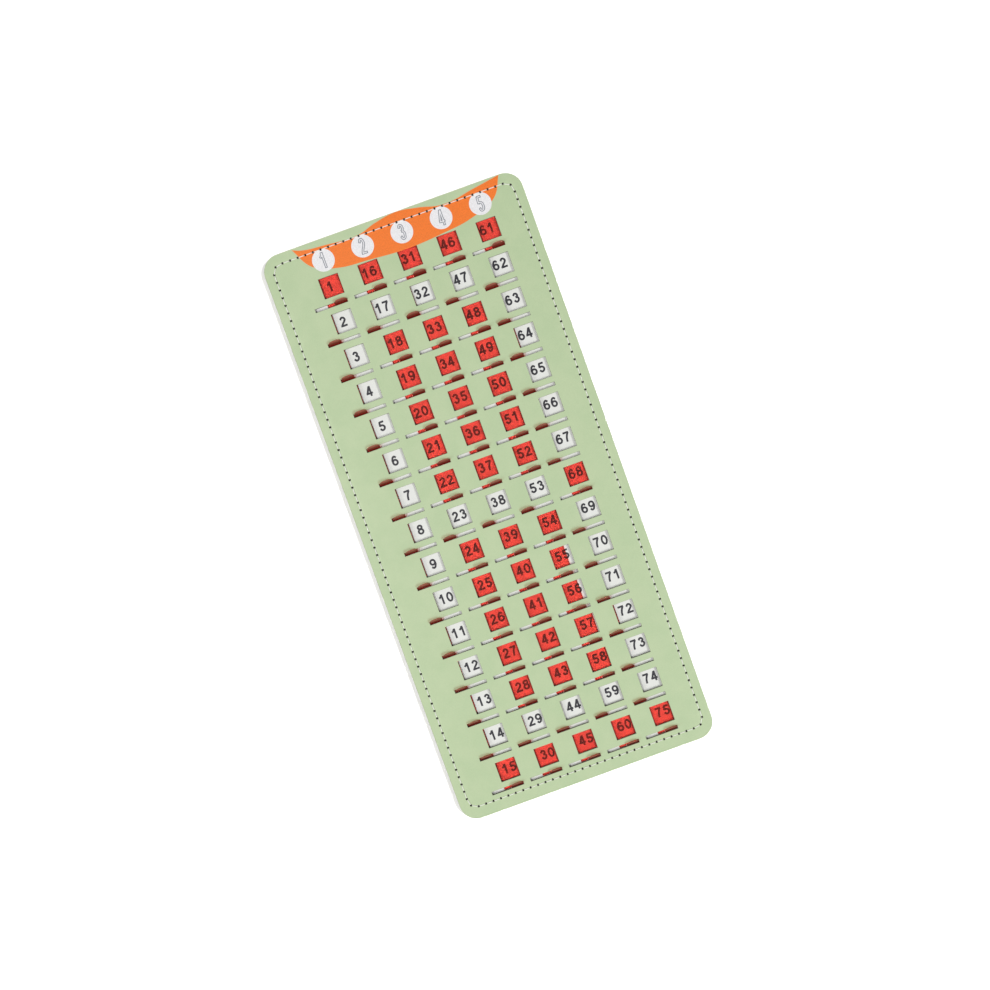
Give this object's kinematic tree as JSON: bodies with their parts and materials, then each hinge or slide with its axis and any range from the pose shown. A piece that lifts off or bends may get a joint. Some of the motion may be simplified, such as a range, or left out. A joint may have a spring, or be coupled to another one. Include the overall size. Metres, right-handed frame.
{
  "type": "bingo master board",
  "caption": "Flat stitched card board with numbered windows in columns, each with a red sliding shutter that is moved by a folded finger tab.",
  "frame": {"origin": "middle of the back face that the board lies on", "axes": "+X runs across the columns to the right, +Y runs up the board to the banner, +Z points out of the front"},
  "size_m": [0.1868, 0.4142, 0.0084],
  "materials": {
    "front_card": "satin printed green card",
    "back_card": "matte pale grey card",
    "number_stock": "smooth white printed card",
    "guide_board": "matte grey board",
    "shutter_plastic": "glossy see-through red sheet plastic"
  },
  "bodies": {
    "board": {"back_cover": "back_card", "number_card": "number_stock", "shutter_guide": "guide_board", "front_cover": "front_card"},
    "shutter_01": {"shutter_01": "shutter_plastic"},
    "shutter_02": {"shutter_02": "shutter_plastic"},
    "shutter_03": {"shutter_03": "shutter_plastic"},
    "shutter_04": {"shutter_04": "shutter_plastic"},
    "shutter_05": {"shutter_05": "shutter_plastic"},
    "shutter_06": {"shutter_06": "shutter_plastic"},
    "shutter_07": {"shutter_07": "shutter_plastic"},
    "shutter_08": {"shutter_08": "shutter_plastic"},
    "shutter_09": {"shutter_09": "shutter_plastic"},
    "shutter_10": {"shutter_10": "shutter_plastic"},
    "shutter_11": {"shutter_11": "shutter_plastic"},
    "shutter_16": {"shutter_16": "shutter_plastic"},
    "shutter_17": {"shutter_17": "shutter_plastic"},
    "shutter_18": {"shutter_18": "shutter_plastic"},
    "shutter_19": {"shutter_19": "shutter_plastic"},
    "shutter_20": {"shutter_20": "shutter_plastic"},
    "shutter_21": {"shutter_21": "shutter_plastic"},
    "shutter_22": {"shutter_22": "shutter_plastic"},
    "shutter_23": {"shutter_23": "shutter_plastic"},
    "shutter_24": {"shutter_24": "shutter_plastic"},
    "shutter_25": {"shutter_25": "shutter_plastic"},
    "shutter_26": {"shutter_26": "shutter_plastic"},
    "shutter_31": {"shutter_31": "shutter_plastic"},
    "shutter_32": {"shutter_32": "shutter_plastic"},
    "shutter_33": {"shutter_33": "shutter_plastic"},
    "shutter_34": {"shutter_34": "shutter_plastic"},
    "shutter_35": {"shutter_35": "shutter_plastic"},
    "shutter_36": {"shutter_36": "shutter_plastic"},
    "shutter_37": {"shutter_37": "shutter_plastic"},
    "shutter_38": {"shutter_38": "shutter_plastic"},
    "shutter_39": {"shutter_39": "shutter_plastic"},
    "shutter_40": {"shutter_40": "shutter_plastic"},
    "shutter_41": {"shutter_41": "shutter_plastic"},
    "shutter_46": {"shutter_46": "shutter_plastic"},
    "shutter_47": {"shutter_47": "shutter_plastic"},
    "shutter_48": {"shutter_48": "shutter_plastic"},
    "shutter_49": {"shutter_49": "shutter_plastic"},
    "shutter_50": {"shutter_50": "shutter_plastic"},
    "shutter_51": {"shutter_51": "shutter_plastic"},
    "shutter_52": {"shutter_52": "shutter_plastic"},
    "shutter_53": {"shutter_53": "shutter_plastic"},
    "shutter_54": {"shutter_54": "shutter_plastic"},
    "shutter_55": {"shutter_55": "shutter_plastic"},
    "shutter_56": {"shutter_56": "shutter_plastic"},
    "shutter_61": {"shutter_61": "shutter_plastic"},
    "shutter_62": {"shutter_62": "shutter_plastic"},
    "shutter_63": {"shutter_63": "shutter_plastic"},
    "shutter_64": {"shutter_64": "shutter_plastic"},
    "shutter_65": {"shutter_65": "shutter_plastic"},
    "shutter_66": {"shutter_66": "shutter_plastic"},
    "shutter_67": {"shutter_67": "shutter_plastic"},
    "shutter_68": {"shutter_68": "shutter_plastic"},
    "shutter_69": {"shutter_69": "shutter_plastic"},
    "shutter_70": {"shutter_70": "shutter_plastic"},
    "shutter_71": {"shutter_71": "shutter_plastic"}
  },
  "joints": [
    {"name": "slide_01", "type": "slide", "parent": "board", "child": "shutter_01", "axis": [1, 0, 0], "range_m": [-0.01405, 0]},
    {"name": "slide_02", "type": "slide", "parent": "board", "child": "shutter_02", "axis": [1, 0, 0], "range_m": [-0.00056, 0.01349]},
    {"name": "slide_03", "type": "slide", "parent": "board", "child": "shutter_03", "axis": [1, 0, 0], "range_m": [-0.00056, 0.01349]},
    {"name": "slide_04", "type": "slide", "parent": "board", "child": "shutter_04", "axis": [1, 0, 0], "range_m": [-0.00056, 0.01349]},
    {"name": "slide_05", "type": "slide", "parent": "board", "child": "shutter_05", "axis": [1, 0, 0], "range_m": [-0.00056, 0.01349]},
    {"name": "slide_06", "type": "slide", "parent": "board", "child": "shutter_06", "axis": [1, 0, 0], "range_m": [-0.00056, 0.01349]},
    {"name": "slide_07", "type": "slide", "parent": "board", "child": "shutter_07", "axis": [1, 0, 0], "range_m": [-0.00056, 0.01349]},
    {"name": "slide_08", "type": "slide", "parent": "board", "child": "shutter_08", "axis": [1, 0, 0], "range_m": [-0.00056, 0.01349]},
    {"name": "slide_09", "type": "slide", "parent": "board", "child": "shutter_09", "axis": [1, 0, 0], "range_m": [-0.00056, 0.01349]},
    {"name": "slide_10", "type": "slide", "parent": "board", "child": "shutter_10", "axis": [1, 0, 0], "range_m": [0, 0.01405]},
    {"name": "slide_11", "type": "slide", "parent": "board", "child": "shutter_11", "axis": [1, 0, 0], "range_m": [-0.00056, 0.01349]},
    {"name": "slide_16", "type": "slide", "parent": "board", "child": "shutter_16", "axis": [1, 0, 0], "range_m": [-0.01405, 0]},
    {"name": "slide_17", "type": "slide", "parent": "board", "child": "shutter_17", "axis": [1, 0, 0], "range_m": [-0.00028, 0.01377]},
    {"name": "slide_18", "type": "slide", "parent": "board", "child": "shutter_18", "axis": [1, 0, 0], "range_m": [-0.01405, 0]},
    {"name": "slide_19", "type": "slide", "parent": "board", "child": "shutter_19", "axis": [1, 0, 0], "range_m": [-0.01405, 0]},
    {"name": "slide_20", "type": "slide", "parent": "board", "child": "shutter_20", "axis": [1, 0, 0], "range_m": [-0.01405, 0]},
    {"name": "slide_21", "type": "slide", "parent": "board", "child": "shutter_21", "axis": [1, 0, 0], "range_m": [-0.01405, 0]},
    {"name": "slide_22", "type": "slide", "parent": "board", "child": "shutter_22", "axis": [1, 0, 0], "range_m": [-0.01405, 0]},
    {"name": "slide_23", "type": "slide", "parent": "board", "child": "shutter_23", "axis": [1, 0, 0], "range_m": [0, 0.01405]},
    {"name": "slide_24", "type": "slide", "parent": "board", "child": "shutter_24", "axis": [1, 0, 0], "range_m": [-0.01405, 0]},
    {"name": "slide_25", "type": "slide", "parent": "board", "child": "shutter_25", "axis": [1, 0, 0], "range_m": [-0.01405, 0]},
    {"name": "slide_26", "type": "slide", "parent": "board", "child": "shutter_26", "axis": [1, 0, 0], "range_m": [-0.01405, 0]},
    {"name": "slide_31", "type": "slide", "parent": "board", "child": "shutter_31", "axis": [1, 0, 0], "range_m": [-0.01405, 0]},
    {"name": "slide_32", "type": "slide", "parent": "board", "child": "shutter_32", "axis": [1, 0, 0], "range_m": [-0.00028, 0.01377]},
    {"name": "slide_33", "type": "slide", "parent": "board", "child": "shutter_33", "axis": [1, 0, 0], "range_m": [-0.01405, 0]},
    {"name": "slide_34", "type": "slide", "parent": "board", "child": "shutter_34", "axis": [1, 0, 0], "range_m": [-0.01405, 0]},
    {"name": "slide_35", "type": "slide", "parent": "board", "child": "shutter_35", "axis": [1, 0, 0], "range_m": [-0.01405, 0]},
    {"name": "slide_36", "type": "slide", "parent": "board", "child": "shutter_36", "axis": [1, 0, 0], "range_m": [-0.01405, 0]},
    {"name": "slide_37", "type": "slide", "parent": "board", "child": "shutter_37", "axis": [1, 0, 0], "range_m": [-0.01405, 0]},
    {"name": "slide_38", "type": "slide", "parent": "board", "child": "shutter_38", "axis": [1, 0, 0], "range_m": [0, 0.01405]},
    {"name": "slide_39", "type": "slide", "parent": "board", "child": "shutter_39", "axis": [1, 0, 0], "range_m": [-0.01405, 0]},
    {"name": "slide_40", "type": "slide", "parent": "board", "child": "shutter_40", "axis": [1, 0, 0], "range_m": [-0.01405, 0]},
    {"name": "slide_41", "type": "slide", "parent": "board", "child": "shutter_41", "axis": [1, 0, 0], "range_m": [-0.01405, 0]},
    {"name": "slide_46", "type": "slide", "parent": "board", "child": "shutter_46", "axis": [1, 0, 0], "range_m": [-0.01405, 0]},
    {"name": "slide_47", "type": "slide", "parent": "board", "child": "shutter_47", "axis": [1, 0, 0], "range_m": [0, 0.01405]},
    {"name": "slide_48", "type": "slide", "parent": "board", "child": "shutter_48", "axis": [1, 0, 0], "range_m": [-0.01405, 0]},
    {"name": "slide_49", "type": "slide", "parent": "board", "child": "shutter_49", "axis": [1, 0, 0], "range_m": [-0.01405, 0]},
    {"name": "slide_50", "type": "slide", "parent": "board", "child": "shutter_50", "axis": [1, 0, 0], "range_m": [-0.01405, 0]},
    {"name": "slide_51", "type": "slide", "parent": "board", "child": "shutter_51", "axis": [1, 0, 0], "range_m": [-0.01405, 0]},
    {"name": "slide_52", "type": "slide", "parent": "board", "child": "shutter_52", "axis": [1, 0, 0], "range_m": [-0.01405, 0]},
    {"name": "slide_53", "type": "slide", "parent": "board", "child": "shutter_53", "axis": [1, 0, 0], "range_m": [0, 0.01405]},
    {"name": "slide_54", "type": "slide", "parent": "board", "child": "shutter_54", "axis": [1, 0, 0], "range_m": [-0.01405, 0]},
    {"name": "slide_55", "type": "slide", "parent": "board", "child": "shutter_55", "axis": [1, 0, 0], "range_m": [-0.01054, 0.00351]},
    {"name": "slide_56", "type": "slide", "parent": "board", "child": "shutter_56", "axis": [1, 0, 0], "range_m": [-0.01124, 0.00281]},
    {"name": "slide_61", "type": "slide", "parent": "board", "child": "shutter_61", "axis": [1, 0, 0], "range_m": [-0.01405, 0]},
    {"name": "slide_62", "type": "slide", "parent": "board", "child": "shutter_62", "axis": [1, 0, 0], "range_m": [0, 0.01405]},
    {"name": "slide_63", "type": "slide", "parent": "board", "child": "shutter_63", "axis": [1, 0, 0], "range_m": [0, 0.01405]},
    {"name": "slide_64", "type": "slide", "parent": "board", "child": "shutter_64", "axis": [1, 0, 0], "range_m": [-0.0007, 0.01335]},
    {"name": "slide_65", "type": "slide", "parent": "board", "child": "shutter_65", "axis": [1, 0, 0], "range_m": [0, 0.01405]},
    {"name": "slide_66", "type": "slide", "parent": "board", "child": "shutter_66", "axis": [1, 0, 0], "range_m": [0, 0.01405]},
    {"name": "slide_67", "type": "slide", "parent": "board", "child": "shutter_67", "axis": [1, 0, 0], "range_m": [0, 0.01405]},
    {"name": "slide_68", "type": "slide", "parent": "board", "child": "shutter_68", "axis": [1, 0, 0], "range_m": [-0.01405, 0]},
    {"name": "slide_69", "type": "slide", "parent": "board", "child": "shutter_69", "axis": [1, 0, 0], "range_m": [0, 0.01405]},
    {"name": "slide_70", "type": "slide", "parent": "board", "child": "shutter_70", "axis": [1, 0, 0], "range_m": [0, 0.01405]},
    {"name": "slide_71", "type": "slide", "parent": "board", "child": "shutter_71", "axis": [1, 0, 0], "range_m": [0, 0.01405]}
  ]
}
